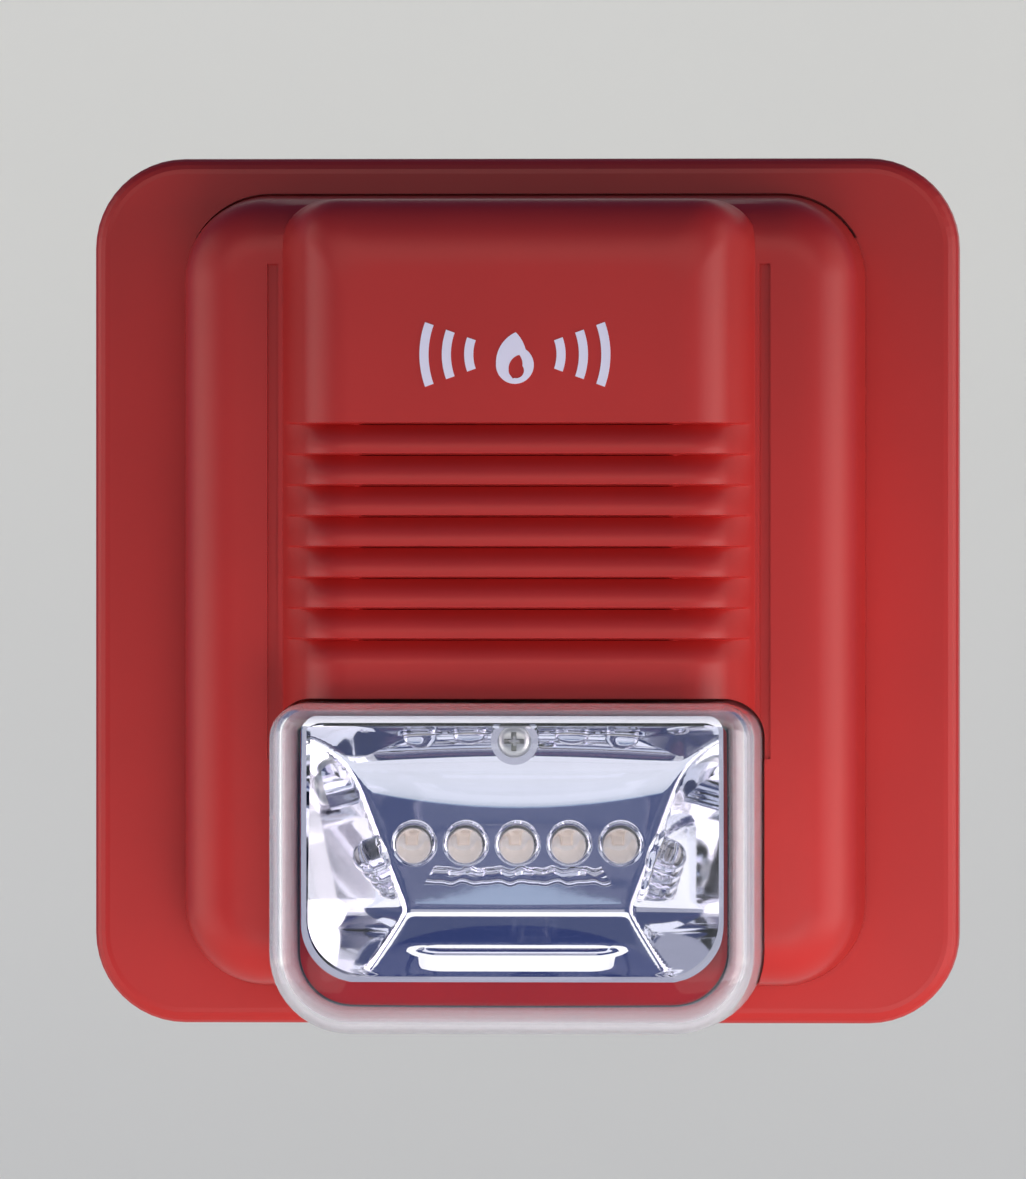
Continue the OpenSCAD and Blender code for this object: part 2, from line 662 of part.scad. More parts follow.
// A resistor or diode body of radius r, lying on the board on its two bent leads
module axial_part(r, length) {
    translate([-length / 2, 0, r]) rotate([0, 90, 0]) cylinder(r = r, h = length);
    for (x = [-1, 1]) translate([x * (length / 2 + 1), 0, 0])
        span([-pin_r, -pin_r, 0], [pin_r, pin_r, r + pin_r]);
    span([-length / 2 - 1.2, -pin_r, r - pin_r], [length / 2 + 1.2, pin_r, r + pin_r]);
}

module resistors() color("tan") stand_up()
    for (p = [[-30, 15], [-30, 11.5], [-30, 8], [31, 1.5], [31, -2], [26, 36]])
        translate([p[0], p[1], board_front]) axial_part(1.1, 6);

module diodes() color("black") stand_up()
    for (p = [[33.5, 37], [30, 40.5], [30, 44]]) translate([p[0], p[1], board_front]) axial_part(1.3, 4.4);

module dip_switch_body() color("steelblue") stand_up() difference() {
    span([dip_x - 4, dip_z - 4.4, board_d - 4.6], [dip_x + 4, dip_z + 4.4, board_d]);
    for (k = [-0.5, 0.5]) span([dip_x - 2, dip_z + k * dip_pitch - 0.8, board_d - 6],
                               [dip_x + 2, dip_z + k * dip_pitch + 0.8, board_d - 2.4]);
}

module dip_slider(k) color("white") stand_up() {
    z = dip_z + k * dip_pitch;
    span([dip_x - 1.8, z - 0.65, board_d - 5.2], [dip_x - 0.2, z + 0.65, board_d - 2.5]);
}
module dip_slider_1() dip_slider(0.5);
module dip_slider_2() dip_slider(-0.5);

module led_header() color("ivory") stand_up() difference() {
    span([led_header_x - 4.4, led_header_z - 2.9, board_d - 4.4],
         [led_header_x + 4.4, led_header_z + 2.9, board_d]);
    span([led_header_x - 3.6, led_header_z - 2.1, board_d - 6],
         [led_header_x + 3.6, led_header_z + 2.1, board_d - 1]);
}

module led_plug() color("white") stand_up() span(
    [led_header_x - 3.5, led_header_z - 2, board_d - 5.6],
    [led_header_x + 3.5, led_header_z + 2, board_d - 1]);

// ---------- strobe ----------

// Route of the lamp cable's middle, from its plug over the floor to the lamp board
led_wire = [
    [27, -4.5, 11.4], [27, -4.5, 10.6], [26.6, -5.4, 9.9], [25, -9, 9.5], [22, -14.5, 9.5],
    [19, -20, 9.8], [16.4, -25, 11], [14.9, -29, 13.6], [14.2, -31.6, 17], [14, -32.4, 20.6]
];
module led_wires() color("red") stand_up() for (s = [-1, 1])
    wire([for (p = led_wire) p + [s, 0, 0]], wire_r);

module led_board() color("white") stand_up() lamp_frame() difference() {
    span([-22.5, -6, led_board_w0], [22.5, 6, led_board_w1]);
    for (x = [-1, 1]) translate([x * led_screw_x, 0, led_board_w0 - 1]) cylinder(r = 1.1, h = 4);
    for (i = [0:led_count - 1], s = [-1, 1])
        translate([lamp_x(i) + s * led_pin, 0, led_board_w0 - 1]) cylinder(r = 0.45, h = 4, $fn = 16);
}

module led_board_screws() color("silver") stand_up() lamp_frame()
    for (x = [-1, 1]) translate([x * led_screw_x, 0, led_board_w0]) rotate([0, 180, 0])
        screw(0.8, 5.2, 1.8, 1.2);

module led(i) color("whitesmoke") stand_up() lamp_frame() translate([lamp_x(i), 0, 0]) {
    translate([0, 0, led_foot]) cylinder(r = led_r, h = -2 * led_foot);
    translate([0, 0, led_foot]) cylinder(r = flange_r, h = 1);
    translate([0, 0, -led_foot]) sphere(r = led_r);
}
module led_1() led(0);
module led_2() led(1);
module led_3() led(2);
module led_4() led(3);
module led_5() led(4);

module led_leads() color("silver") stand_up() lamp_frame()
    for (i = [0:led_count - 1], s = [-1, 1]) translate([lamp_x(i) + s * led_pin, 0, 0])
        span([-pin_r, -pin_r, -8.4], [pin_r, pin_r, led_foot]);

// Side view of the bowl, from its lower lip round the lamp wall and the curved roof to the upper
// lip. g grows it by the wall thickness, and open_d lies well in front of it.
open_d = 70;
function bowl_profile(g) = concat(
    [
        [bowl_low_z - 0.4 * g, open_d],
        [bowl_low_z - 0.7 * g, bowl_low_d - 0.2 * g],
        [bowl_deep_z - 0.45 * g, bowl_deep_d - g]
    ],
    [for (a = [0:10:90]) [bowl_back_z + (bowl_top - bowl_back_z + g) * sin(a),
                          refl_lip_d - (refl_lip_d - bowl_back_d + g) * cos(a)]],
    [[bowl_top + g, open_d]]
);

// The bowl from above: its sides lean in towards the deepest part
function bowl_plan(g) =
    let (lip_hw = refl_hw - 0.8 + g, lip_d = refl_lip_d - 0.4 * g)
    let (deep_hw = bowl_deep_hw + 0.6 * g, deep_d = bowl_deep_d - g - 1)
    [
        [-lip_hw, open_d], [-lip_hw, lip_d], [-deep_hw, deep_d],
        [deep_hw, deep_d], [lip_hw, lip_d], [lip_hw, open_d]
    ];

module bowl(g) intersection() {
    translate([-40, 0, 0]) rotate([90, 0, 90]) linear_extrude(80) polygon(bowl_profile(g));
    rotate([90, 0, 0]) linear_extrude(160, center = true) polygon(bowl_plan(g));
}

module reflector_outline(g = 0)
    two_radius_rect(refl_hw - g, refl_bottom + g, refl_top - g, 9 - g, 3 - g * 0.8);

module reflector() color("silver") stand_up() difference() {
    union() {
        intersection() {
            translate([0, 0, refl_d0]) linear_extrude(refl_lip_d - refl_d0) reflector_outline();
            union() {
                translate([0, 0, floor_d]) linear_extrude(40) difference() {
                    reflector_outline();
                    reflector_outline(refl_t);
                }
                bowl(refl_t);
            }
        }
        // collars round the lamps, and posts for the lamp board
        lamp_frame() {
            for (i = [0:led_count - 1]) translate([lamp_x(i), 0, -0.6]) cylinder(r = collar_r, h = 1.6);
            for (x = [-1, 1]) translate([x * led_screw_x, 0, led_board_w1])
                cylinder(r = 2.2, h = -led_board_w1 - 0.4);
        }
        translate([0, pillar_z, pillar_d]) cylinder(r = post_r, h = pillar_top - pillar_d);
        for (x = [-1, 1]) span([x * tongue_x - 2.5, refl_bottom + 0.05, floor_d - floor_t - 0.6],
                               [x * tongue_x + 2.5, refl_bottom + refl_t, floor_d + 2]);
    }
    difference() {
        bowl(0);
        translate([0, pillar_z, 0]) cylinder(r = post_r, h = pillar_top);
        lamp_frame() for (i = [0:led_count - 1]) translate([lamp_x(i), 0, -1]) cylinder(r = collar_r, h = 2);
    }
    lamp_frame() {
        for (i = [0:led_count - 1]) translate([lamp_x(i), 0, -4]) {
            cylinder(r = led_r + 0.1, h = 9);
            cylinder(r = flange_r + 0.15, h = 2.5);
        }
        for (x = [-1, 1]) translate([x * led_screw_x, 0, led_board_w1 - 1]) cylinder(r = 0.85, h = 4.6);
    }
    translate([0, pillar_z, 20]) cylinder(r = 1.6, h = 30);
    translate([0, pillar_z, pillar_top]) cylinder(r = 2.6, h = 10);
}

module reflector_screw() color("silver") stand_up() translate([0, pillar_z, pillar_top])
    screw(1.25, 20, 2.35, 1.8);

// Outside of the lens for g = 0, and its inside for g = lens_wall
module lens_solid(g) hull() {
    e = lens_edge - g * 0.5;
    translate([0, 0, floor_d + gasket_t - (g > 0 ? 2 : 0)]) linear_extrude(slab) lens_outline(-g, $fn = 40);
    for (a = [0:15:90]) translate([0, 0, lens_d - 1 - lens_edge + e * sin(a) - g * 0.5 - slab])
        linear_extrude(slab) lens_outline(-0.4 - g - e * (1 - cos(a)), $fn = 40);
    translate([0, 0, lens_d - g - slab]) linear_extrude(slab)
        two_radius_rect(lens_w / 2 - 17 - g, lens_bottom + 16 + g, lens_top - 14 - g, 5, 4);
}

module lens() color("lightcyan", 0.4) stand_up() {
    difference() {
        lens_solid(0);
        lens_solid(lens_wall);
    }
    // clips that reach through the floor and hook behind it
    for (x = [-1, 1], z = clip_z) translate([x * clip_x, z, 0]) mirror([x < 0 ? 1 : 0, 0, 0]) {
        span([-0.4, -3, floor_d - floor_t - 1.4], [0.8, 3, floor_d + gasket_t + eps]);
        span([-1.1, -3, floor_d - floor_t - 1.4], [0, 3, floor_d - floor_t - 0.2]);
    }
}

module lens_gasket() color("gray") stand_up() translate([0, 0, floor_d])
    linear_extrude(gasket_t) difference() {
    lens_outline(-0.15);
    lens_outline(-gasket_w);
    for (x = [-1, 1], z = clip_z) translate([x * (clip_x + 0.2), z]) square([1.8, 6.6], center = true);
}

// ---------- clamp screw ----------

module lock_washer() color("silver") stand_up() translate([0, head_z - washer_t, lock_d])
    rotate([-90, 0, 0]) ring(2.9, 1.6, washer_t);

module lock_screw() color("silver") stand_up() translate([0, head_z - washer_t, lock_d]) rotate([90, 0, 0])
    screw(lock_r, 15, 2.75, 1.9);

base_plate();
terminal_block();
terminal_block_screws();
terminal_screws();
wire_clamps();
contact_springs();
front_housing();
alarm_symbol();
sound_screen();
sounder_cup();
piezo_disc();
piezo_ceramic();
sounder_retainer();
sounder_screws();
sounder_wires();
sounder_plug();
sounder_header();
main_board();
main_board_screws();
contact_pads();
transformer_core();
transformer_winding();
capacitors();
controller_chip();
drive_transistors();
resistors();
diodes();
dip_switch_body();
dip_slider_1();
dip_slider_2();
led_header();
led_plug();
led_wires();
led_board();
led_board_screws();
led_1();
led_2();
led_3();
led_4();
led_5();
led_leads();
reflector();
reflector_screw();
lens();
lens_gasket();
lock_washer();
lock_screw();
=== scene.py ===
import json
import math

import bpy
import bmesh
from mathutils import Matrix, Vector


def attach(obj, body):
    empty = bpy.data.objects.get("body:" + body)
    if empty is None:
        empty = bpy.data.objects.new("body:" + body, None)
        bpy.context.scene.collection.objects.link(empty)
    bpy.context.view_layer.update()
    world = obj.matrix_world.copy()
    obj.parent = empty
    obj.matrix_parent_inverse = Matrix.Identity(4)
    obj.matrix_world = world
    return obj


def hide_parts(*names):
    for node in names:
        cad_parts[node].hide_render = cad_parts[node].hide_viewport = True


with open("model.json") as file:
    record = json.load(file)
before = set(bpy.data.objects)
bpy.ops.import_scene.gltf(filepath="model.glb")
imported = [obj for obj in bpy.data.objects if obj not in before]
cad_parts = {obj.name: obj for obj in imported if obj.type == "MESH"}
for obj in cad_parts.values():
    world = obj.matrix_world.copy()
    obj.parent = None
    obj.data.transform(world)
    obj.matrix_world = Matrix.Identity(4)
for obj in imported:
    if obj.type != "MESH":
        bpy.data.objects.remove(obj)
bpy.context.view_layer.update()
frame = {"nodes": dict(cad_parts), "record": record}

MM = 0.001
scene = bpy.context.scene

# ---------- sizes, in millimetres: x to the right, z up, d out from the wall ----------

SKIN = 0.05                      # the housing's skin stands this far outside the CAD solid
TIER_HW, TIER_HH, TIER_R = 49 + SKIN, 57 + SKIN, 12 + SKIN
RIM_D, TIER_D, SHOULDER_R, DRAFT = 7.3, 27 + SKIN, 8, 0.6
BLOCK_D, BLOCK_FILLET, BLOCK_SLOPE = 37 + SKIN, 8, math.radians(60)
FACE_HW, BASE_HW = 23.5, 34.5 + SKIN
BLOCK_TOP, FACE_TOP, BLOCK_BOTTOM, CREST_D = 56.2 + SKIN, 46.5, -24, 29.5
LOUVRES, LOUVRE_PITCH, LOUVRE_TOP, LOUVRE_DEPTH = 8, 4.4, 24.2, 2.3
LOUVRE_STEP, LOUVRE_RAMP = 0.25, 3.5
SLOT_HW, SLOT_LOW, SLOT_HIGH, LIP_T = 22, 0.12, 0.5, 0.7
GROOVE_X, GROOVE_TOP, GROOVE_DEPTH = (34.55, 36.1), 47, 0.8
WALL = 2.2
FLOOR_D = 16.4
LENS_HW, LENS_TOP, LENS_BOTTOM, LENS_D = 35, -15.5, -63.3, 50
LENS_R_TOP, LENS_R_BOTTOM, LENS_EDGE, LENS_WALL, LENS_LEAN = 5.5, 12, 4, 1.5, 0.4
LENS_FOOT = 17.2
REFL_HW, REFL_TOP, REFL_BOTTOM, REFL_LIP, REFL_FOOT = 30.2, -17.2, -55.6, 43, 17.2
ROOF_Z, ROOF_CURVE, ROOF_HW = -18, 2.8, 24
SCREW_Z, SCREW_SEAT = -21.3, 37.6        # the reflector's screw, and where its head rests
CLAMP_Z, CLAMP_D = -60.5, 11.2           # the clamp screw's head, and its axis
LED_Z, LED_PITCH, LED_COUNT, LED_R, LED_H = -36, 7.4, 5, 2.5, 2.6


def point(x, z, d):
    """A point of the object from its place on the wall and its height above it, in millimetres."""
    return Vector((x * MM, -d * MM, z * MM))


def new_object(name, verts, faces):
    mesh = bpy.data.meshes.new(name)
    mesh.from_pydata([tuple(v) for v in verts], [], faces)
    mesh.validate()
    obj = bpy.data.objects.new(name, mesh)
    scene.collection.objects.link(obj)
    return obj


def clean(obj, dist=1e-6):
    """Joins doubled points and turns every face outwards."""
    bm = bmesh.new()
    bm.from_mesh(obj.data)
    bmesh.ops.remove_doubles(bm, verts=bm.verts, dist=dist)
    bmesh.ops.dissolve_degenerate(bm, edges=bm.edges, dist=dist)
    bmesh.ops.recalc_face_normals(bm, faces=bm.faces)
    bm.to_mesh(obj.data)
    bm.free()
    return obj


def smooth(obj, angle=30):
    """Smooth shading, with edges sharper than angle kept crisp."""
    mesh = obj.data
    bm = bmesh.new()
    bm.from_mesh(mesh)
    limit = math.radians(angle)
    for face in bm.faces:
        face.smooth = True
    for edge in bm.edges:
        edge.smooth = len(edge.link_faces) == 2 and edge.calc_face_angle(0) < limit
    bm.to_mesh(mesh)
    bm.free()
    return obj


def boolean(obj, other, operation):
    """Applies one solid to another and removes the second."""
    mod = obj.modifiers.new("cut", "BOOLEAN")
    mod.operation, mod.object, mod.solver = operation, other, "MANIFOLD"
    bpy.context.view_layer.update()
    graph = bpy.context.evaluated_depsgraph_get()
    made = bpy.data.meshes.new_from_object(obj.evaluated_get(graph))
    obj.modifiers.clear()
    obj.data = made
    bpy.data.objects.remove(other)
    return obj


def steps(start, end, count):
    """count + 1 even steps from start to end."""
    return [start + (end - start) * i / count for i in range(count + 1)]


def rounded_loop(hw, low, high, r_low, r_high, arc=12, straight=6):
    """Points (x, z) round a rectangle, counter-clockwise from lower right, with one radius for the two lower
    corners and one for the upper ones."""
    loop = []
    corners = [(hw - r_low, low + r_low, r_low, -90), (hw - r_high, high - r_high, r_high, 0),
               (-hw + r_high, high - r_high, r_high, 90), (-hw + r_low, low + r_low, r_low, 180)]
    ends = []
    for cx, cz, r, start in corners:
        arc_points = [(cx + r * math.cos(math.radians(start + a)), cz + r * math.sin(math.radians(start + a)))
                      for a in steps(0, 90, arc)]
        ends.append(arc_points)
    for i, arc_points in enumerate(ends):
        loop += arc_points
        (x0, z0), (x1, z1) = arc_points[-1], ends[(i + 1) % 4][0]
        loop += [(x0 + (x1 - x0) * t, z0 + (z1 - z0) * t) for t in steps(0, 1, straight)[1:-1]]
    return loop


def ring_faces(rings, count):
    """Faces of a skin through rings of count points each, whose points follow one another."""
    return [(a + k, a + (k + 1) % count, a + count + (k + 1) % count, a + count + k)
            for a in range(0, (rings - 1) * count, count) for k in range(count)]


def end_faces(rings, count):
    """The two faces that close such a skin."""
    return [list(range(count))[::-1], [(rings - 1) * count + k for k in range(count)]]


def loft(name, rings):
    """A closed skin through rings of (x, z, d) points."""
    count = len(rings[0])
    verts = [point(*p) for ring in rings for p in ring]
    return clean(new_object(name, verts, ring_faces(len(rings), count) + end_faces(len(rings), count)))


def box_mesh(name, low, high):
    """A box between two (x, z, d) corners."""
    (x0, z0, d0), (x1, z1, d1) = low, high
    ring = [(x0, z0), (x1, z0), (x1, z1), (x0, z1)]
    return loft(name, [[(x, z, d0) for x, z in ring], [(x, z, d1) for x, z in ring]])


# ---------- housing ----------

def tier_solid(name, inset, foot, arc):
    """The low shoulder: drafted sides, a rounded edge and a flat top."""
    def ring(extra, d):
        t = inset + extra
        return [(x, z, d) for x, z in rounded_loop(TIER_HW - t, -TIER_HH + t, TIER_HH - t,
                                                   TIER_R - t, TIER_R - t, arc=arc)]
    edge = SHOULDER_R - inset
    rings = [ring(0, foot), ring(DRAFT, TIER_D - SHOULDER_R)]
    for a in steps(0, 90, arc)[1:]:
        t = math.radians(a)
        rings.append(ring(DRAFT + edge * (1 - math.cos(t)), TIER_D - SHOULDER_R + edge * math.sin(t)))
    return loft(name, rings)


def louvre(z):
    """How deep the louvres cut at this height, from 0 to 1: a crisp step below each lip, then a ramp back
    out."""
    below = LOUVRE_TOP - z
    if below < 0 or below > LOUVRES * LOUVRE_PITCH:
        return 0
    t = below % LOUVRE_PITCH
    if t < LOUVRE_STEP:
        return t / LOUVRE_STEP
    return (1 - min(1, (t - LOUVRE_STEP) / LOUVRE_RAMP)) ** 1.8


# heights above a louvre's foot, closer together towards its lip
LOUVRE_ROWS = [0.4 * k for k in range(9)] + [3.5, 3.75, 3.95, 4.15, 4.25]


def block_rows(top, corner, fine):
    """Heights of the rows up the block's sides: fine ones at the louvres, then the same count up to the
    corner."""
    z_low = LOUVRE_TOP - LOUVRES * LOUVRE_PITCH - 0.6
    z_high = LOUVRE_TOP + 0.6
    rows = steps(BLOCK_BOTTOM, z_low, 3)
    if fine:
        for k in range(LOUVRES, 0, -1):
            edge = LOUVRE_TOP - k * LOUVRE_PITCH
            rows += [edge + t for t in LOUVRE_ROWS]
        rows += [LOUVRE_TOP, z_high]
    else:
        rows += steps(z_low, z_high, 4)[1:]
    rows += steps(z_high, 40, 4)[1:]
    rows += steps(40, top - corner, 3)[1:]
    return rows


def block_levels(inset):
    """(d, half width, top, corner radius, lean of the side) from the foot to the face."""
    centre = BLOCK_D - BLOCK_FILLET
    levels = []
    bend = centre + BLOCK_FILLET * math.cos(BLOCK_SLOPE)
    bend_hw = FACE_HW + BLOCK_FILLET * math.sin(BLOCK_SLOPE)
    foot_d = bend - (BASE_HW - bend_hw) * math.tan(BLOCK_SLOPE)
    for d in [12, 20, foot_d - 0.01] + steps(foot_d, bend, 8):
        lean = BLOCK_SLOPE if d >= foot_d else math.pi / 2
        hw = min(BASE_HW, bend_hw + (bend - d) / math.tan(BLOCK_SLOPE))
        levels.append((d, hw, lean))
    for a in steps(60, 0, 20)[1:]:
        t = math.radians(a)
        levels.append((centre + BLOCK_FILLET * math.cos(t), FACE_HW + BLOCK_FILLET * math.sin(t), t))
    out = []
    for d, hw, lean in levels:
        f = min(1, max(0, (d - CREST_D) / (BLOCK_D - CREST_D)))
        top = FACE_TOP + (BLOCK_TOP - FACE_TOP) * math.sqrt(1 - f * f)
        corner = 7.5 - 3.5 * max(0, d - TIER_D) / (BLOCK_D - TIER_D)
        out.append((d - inset, hw - inset, top - inset, corner, lean))
    return out


def fade(x):
    """The louvres run out down the sloping sides."""
    t = min(1, max(0, (abs(x) - 27.5) / 6.3))
    return 1 - t * t * (3 - 2 * t)


def block_solid(name, inset, fine):
    """The raised centre block, built up from levels that share their rows, with a grid across its face."""
    columns = 24 if fine else 8
    arc = 10 if fine else 5
    shares = steps(0, 1, columns)[1:-1]

    def cut(x, z, d, lean):
        depth = LOUVRE_DEPTH * louvre(z) * fade(x) if fine else 0
        side = 1 if x > 0 else -1
        return (x - side * depth * math.sin(lean), z, d - depth * math.cos(lean))

    def outline(level):
        """(half width, z) of each row, from the lowest up and round the corner."""
        _, hw, top, corner, _ = level
        edge = [(hw, z) for z in block_rows(top, corner, fine)]
        for a in steps(0, 90, arc)[1:]:
            t = math.radians(a)
            edge.append((hw - corner * (1 - math.cos(t)), top - corner + corner * math.sin(t)))
        return edge

    def ring(level):
        d, lean = level[0], level[-1]
        edge = outline(level)
        loop = [cut(-x, z, d, lean) for x, z in edge]
        x, z = edge[-1]
        loop += [cut(-x + 2 * x * s, z, d, 0) for s in shares]
        loop += [cut(x, z, d, lean) for x, z in edge[::-1]]
        x, z = edge[0]
        loop += [cut(x - 2 * x * s, z, d, 0) for s in shares]
        return loop

    levels = block_levels(inset)
    rings = [ring(level) for level in levels]
    count = len(rings[0])
    verts = [point(*p) for r in rings for p in r]
    faces = ring_faces(len(rings), count)
    faces.append(list(range(count))[::-1])
    # face grid, one row for each row of the last level
    edge = outline(levels[-1])
    last = (len(rings) - 1) * count
    rows = len(edge)
    face_d = levels[-1][0]
    grid = []
    for i, (x, z) in enumerate(edge):
        left, right = last + i, last + rows + len(shares) + (rows - 1 - i)
        if i == rows - 1:
            inner = [last + rows + k for k in range(len(shares))]
        elif i == 0:
            inner = [last + 2 * rows + len(shares) + (len(shares) - 1 - k) for k in range(len(shares))]
        else:
            inner = []
            for s in shares:
                inner.append(len(verts))
                verts.append(point(*cut(-x + 2 * x * s, z, face_d, 0)))
        grid.append([left] + inner + [right])
    for a, b in zip(grid, grid[1:]):
        faces += [(a[k], a[k + 1], b[k + 1], b[k]) for k in range(len(a) - 1)]
    return clean(new_object(name, verts, faces))


def cad_copy(node):
    """A closed copy of a CAD node's mesh."""
    obj = bpy.data.objects.new(node + "_copy", frame["nodes"][node].data.copy())
    scene.collection.objects.link(obj)
    return clean(obj, 2e-6)


def housing():
    body = tier_solid("housing", 0, RIM_D, 14)
    boolean(body, block_solid("block", 0, True), "UNION")
    cavity = tier_solid("cavity", WALL, RIM_D - 2, 8)
    boolean(cavity, block_solid("block_cavity", WALL, False), "UNION")
    boolean(body, cavity, "DIFFERENCE")
    gap = 0.25
    loop = rounded_loop(LENS_HW + gap, LENS_BOTTOM - gap, LENS_TOP + gap,
                        LENS_R_BOTTOM + gap, LENS_R_TOP + gap)
    pocket = loft("pocket", [[(x, z, d) for x, z in loop] for d in (FLOOR_D, LENS_D + 10)])
    boolean(body, pocket, "DIFFERENCE")
    for side in (-1, 1):
        low, high = sorted(side * x for x in GROOVE_X)
        boolean(body, box_mesh("groove", (low, BLOCK_BOTTOM, TIER_D - GROOVE_DEPTH),
                               (high, GROOVE_TOP, TIER_D + 1)), "DIFFERENCE")
    for k in range(LOUVRES):
        z = LOUVRE_TOP - k * LOUVRE_PITCH
        slot = box_mesh("slot", (-SLOT_HW, z - SLOT_LOW, 30), (SLOT_HW, z + SLOT_HIGH, BLOCK_D - LIP_T))
        boolean(body, slot, "DIFFERENCE")
    # the inside comes from the CAD solid
    inside = cad_copy("front_housing")
    keep = tier_solid("keep", WALL - 0.15, RIM_D - 2, 8)
    boolean(keep, block_solid("block_keep", WALL - 0.15, False), "UNION")
    boolean(keep, box_mesh("chin", (-38, -66, 6), (38, -50, 25.5)), "UNION")
    boolean(inside, keep, "INTERSECT")
    boolean(body, inside, "UNION")
    return smooth(body, 32)


# ---------- lens ----------

def lens_crown(x, z, d):
    """The front face's distance from the wall, where it bulges by 1 mm at its middle."""
    flat = LENS_EDGE + LENS_LEAN
    u = min(1, abs(x) / (LENS_HW - flat))
    v = min(1, abs(z - (LENS_TOP + LENS_BOTTOM) / 2) / ((LENS_TOP - LENS_BOTTOM) / 2 - flat))
    return d + (1 - u * u) * (1 - v * v)


def lens_rings(inset):
    """Rings from the foot up and over the rounded edge to the middle of the front face."""
    def ring(t, d, crown=False):
        loop = rounded_loop(LENS_HW - t, LENS_BOTTOM + t, LENS_TOP - 0.75 * t,
                            max(LENS_R_BOTTOM - t, 0.5), max(LENS_R_TOP - t, 0.5), arc=12, straight=14)
        return [(x, z, lens_crown(x, z, d) if crown else d) for x, z in loop]
    edge = LENS_EDGE - inset / 2
    start = LENS_D - 1 - LENS_EDGE - inset / 2
    rings = [ring(inset + LENS_LEAN * t, LENS_FOOT + (start - LENS_FOOT) * t) for t in steps(0, 1, 6)]
    for a in steps(0, 90, 12)[1:]:
        t = math.radians(a)
        rings.append(ring(inset + LENS_LEAN + edge * (1 - math.cos(t)), start + edge * math.sin(t)))
    flat = inset + LENS_LEAN + edge
    for t in steps(flat, 23.3, 10)[1:]:
        rings.append(ring(t, start + edge, True))
    return rings


def lens():
    """The cap, with two snap clips on each side."""
    cap = loft("lens_cap", lens_rings(LENS_WALL)[::-1] + lens_rings(0))
    for side in (-1, 1):
        for z in (-26, -44):
            low, high = sorted((side * 33.6, side * 34.8))
            boolean(cap, box_mesh("clip", (low, z - 3, 13), (high, z + 3, LENS_FOOT + 0.2)), "UNION")
            low, high = sorted((side * 32.9, side * 34))
            boolean(cap, box_mesh("hook", (low, z - 3, 13), (high, z + 3, 14.2)), "UNION")
    return smooth(cap, 40)


# ---------- reflector ----------

LAMP_WALL = [(-46, 27.9), (-31, 30)]
RAMP_FOOT, RAMP_D = REFL_BOTTOM + 0.9, 32       # lower front edge of the ramp below the lamp wall
LED_TILT = math.atan((LAMP_WALL[1][1] - LAMP_WALL[0][1]) / (LAMP_WALL[1][0] - LAMP_WALL[0][0]))
LED_D = LAMP_WALL[1][1] - (LAMP_WALL[1][0] - LED_Z) * math.tan(LED_TILT)


def lamp_matrix(i):
    """The frame of lamp i: its Z runs along the lamp, which leans down a little."""
    x = (i - (LED_COUNT - 1) / 2) * LED_PITCH
    out = Vector((0, -math.cos(LED_TILT), -math.sin(LED_TILT)))
    across = Vector((1, 0, 0))
    up = out.cross(across)
    turn = Matrix((across, up, out)).transposed().to_4x4()
    return Matrix.Translation(point(x, LED_Z, LED_D)) @ turn


def lathe(name, profile, matrix, segments=40):
    """A closed solid of revolution about the matrix's Z axis, from (radius, height) points in millimetres."""
    verts = []
    for r, h in profile:
        for k in range(segments):
            a = 2 * math.pi * k / segments
            verts.append(matrix @ Vector((r * math.cos(a) * MM, r * math.sin(a) * MM, h * MM)))
    faces = ring_faces(len(profile), segments) + end_faces(len(profile), segments)
    return clean(new_object(name, verts, faces))


def screw_matrix(d):
    """A frame on the reflector screw's axis, whose Z points straight out of the wall."""
    return Matrix.Translation(point(0, SCREW_Z, d)) @ Matrix.Rotation(math.pi / 2, 4, "X")


def post(name, r, d0, d1):
    """A round bar about the reflector screw's axis, from d0 to d1 out of the wall."""
    return lathe(name, [(r, d0), (r, d1)], screw_matrix(0), 48)


def bowl_profile():
    """Side view of the bowl, (z, d), from its lower edge over the lamp wall and the curved roof to the upper
    lip. The roof is part of an ellipse that leaves the lamp wall at the wall's own slope."""
    rough = [(RAMP_FOOT, RAMP_D), LAMP_WALL[0], LAMP_WALL[1]]
    first = 10
    roof_h = (ROOF_Z - LAMP_WALL[1][0]) / (1 - math.sin(math.radians(first)))
    roof_w = (REFL_LIP - LAMP_WALL[1][1]) / math.cos(math.radians(first))
    for a in steps(first, 90, 30)[1:]:
        t = math.radians(a)
        rough.append((ROOF_Z - roof_h * (1 - math.sin(t)), REFL_LIP - roof_w * math.cos(t)))
    fine = []
    for (z0, d0), (z1, d1) in zip(rough, rough[1:]):
        count = max(1, round(math.hypot(z1 - z0, d1 - d0) / 0.45))
        fine += [(z0 + (z1 - z0) * i / count, d0 + (d1 - d0) * i / count) for i in range(count)]
    fine.append(rough[-1])
    for _ in range(2):
        fine = ([fine[0]] + [((a[0] + 2 * b[0] + c[0]) / 4, (a[1] + 2 * b[1] + c[1]) / 4)
                             for a, b, c in zip(fine, fine[1:], fine[2:])] + [fine[-1]])
    return fine


def side_wall(x, z):
    """The side walls lean in and meet the lamp wall just outside the last lamp."""
    below = max(0, LAMP_WALL[0][0] + 2 - z)
    lower = below * below / (below + 3)
    return 2.94 + 0.927 * abs(x) - 0.23 * z - 0.4 * lower


def soft_max(a, b, blend=0.4):
    """The larger of two numbers, rounded off where they are close."""
    t = max(0, blend - abs(a - b)) / blend
    return max(a, b) + t * t * blend / 4


